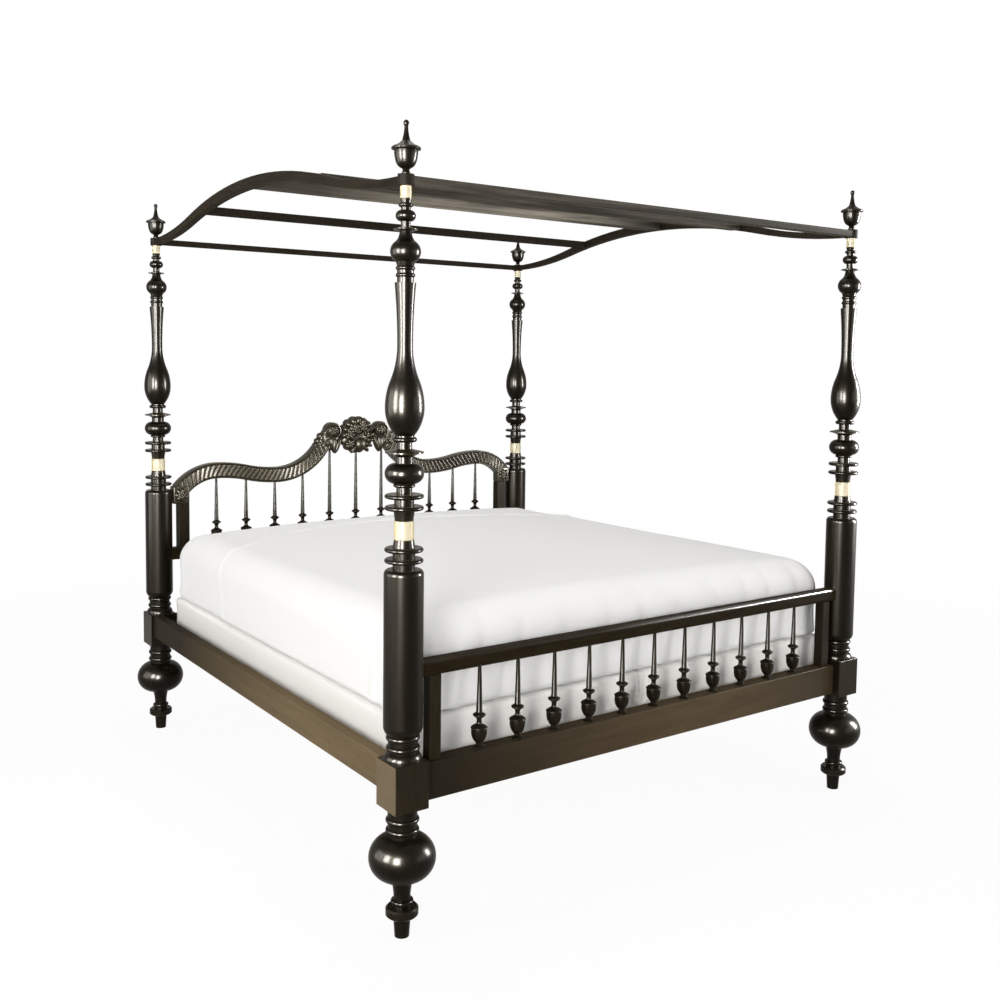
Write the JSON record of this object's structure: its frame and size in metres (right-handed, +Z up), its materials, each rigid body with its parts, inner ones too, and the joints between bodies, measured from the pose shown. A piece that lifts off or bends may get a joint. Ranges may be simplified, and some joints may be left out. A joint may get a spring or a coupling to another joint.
{
  "type": "four poster canopy bed",
  "caption": "King-size four poster bed of turned ebonised wood with a spindle footboard, a carved serpentine headboard, a bare arched canopy frame, a split foundation and a made-up mattress.",
  "frame": {"origin": "on the floor under the middle of the bed, halfway between the four posts", "axes": "+X across the bed towards its right side seen from the foot, +Y from the foot to the head, +Z up"},
  "size_m": [2.2, 2.4, 2.378],
  "materials": {
    "ebonised_wood": "gloss",
    "carved_wood": "gloss",
    "rail_wood": "satin",
    "tester_wood": "satin",
    "plain_softwood": "matte",
    "bone": "satin",
    "steel": "satin",
    "foundation_cloth": "matte",
    "bedding_cloth": "matte"
  },
  "bodies": {
    "bedstead": {"foot_left_bun_foot": "ebonised_wood", "foot_left_lower_post": "ebonised_wood", "foot_left_upper_post": "ebonised_wood", "foot_left_lower_collar": "bone", "foot_left_upper_collar": "bone", "foot_right_bun_foot": "ebonised_wood", "foot_right_lower_post": "ebonised_wood", "foot_right_upper_post": "ebonised_wood", "foot_right_lower_collar": "bone", "foot_right_upper_collar": "bone", "head_left_bun_foot": "ebonised_wood", "head_left_lower_post": "ebonised_wood", "head_left_upper_post": "ebonised_wood", "head_left_lower_collar": "bone", "head_left_upper_collar": "bone", "head_right_bun_foot": "ebonised_wood", "head_right_lower_post": "ebonised_wood", "head_right_upper_post": "ebonised_wood", "head_right_lower_collar": "bone", "head_right_upper_collar": "bone", "left_side_rail": "rail_wood", "right_side_rail": "rail_wood", "foot_rail": "rail_wood", "head_rail": "rail_wood", "foot_top_rail": "rail_wood", "foot_left_stile": "rail_wood", "foot_right_stile": "rail_wood", "head_spindle_rail": "rail_wood", "head_left_stile": "rail_wood", "head_right_stile": "rail_wood", "foot_spindles": "carved_wood", "head_spindles": "carved_wood", "head_left_arch": "carved_wood", "head_right_arch": "carved_wood", "head_crest": "carved_wood", "left_cleat": "plain_softwood", "right_cleat": "plain_softwood", "bed_slats": "plain_softwood", "rail_hook_plates": "steel", "post_dowels": "plain_softwood", "left_box_spring": "foundation_cloth", "right_box_spring": "foundation_cloth"},
    "tester": {"tester_left_arch": "tester_wood", "tester_right_arch": "tester_wood", "tester_head_rail": "tester_wood", "tester_foot_rail": "tester_wood", "tester_crown_slat": "tester_wood", "tester_head_slat": "tester_wood", "tester_foot_slat": "tester_wood", "tester_pins": "steel"},
    "foot_left_finial": {"foot_left_finial": "ebonised_wood"},
    "foot_right_finial": {"foot_right_finial": "ebonised_wood"},
    "head_left_finial": {"head_left_finial": "ebonised_wood"},
    "head_right_finial": {"head_right_finial": "ebonised_wood"},
    "mattress": {"mattress": "bedding_cloth"}
  },
  "joints": [
    {"name": "tester_lift", "type": "slide", "parent": "bedstead", "child": "tester", "axis": [0, 0, 1], "range_m": [0, 0.15]},
    {"name": "mattress_lift", "type": "slide", "parent": "bedstead", "child": "mattress", "axis": [0, 0, 1], "range_m": [0, 0.25]},
    {"name": "foot_left_finial_lift", "type": "slide", "parent": "tester", "child": "foot_left_finial", "axis": [0, 0, 1], "range_m": [0, 0.12]},
    {"name": "foot_right_finial_lift", "type": "slide", "parent": "tester", "child": "foot_right_finial", "axis": [0, 0, 1], "range_m": [0, 0.12]},
    {"name": "head_left_finial_lift", "type": "slide", "parent": "tester", "child": "head_left_finial", "axis": [0, 0, 1], "range_m": [0, 0.12]},
    {"name": "head_right_finial_lift", "type": "slide", "parent": "tester", "child": "head_right_finial", "axis": [0, 0, 1], "range_m": [0, 0.12]}
  ]
}
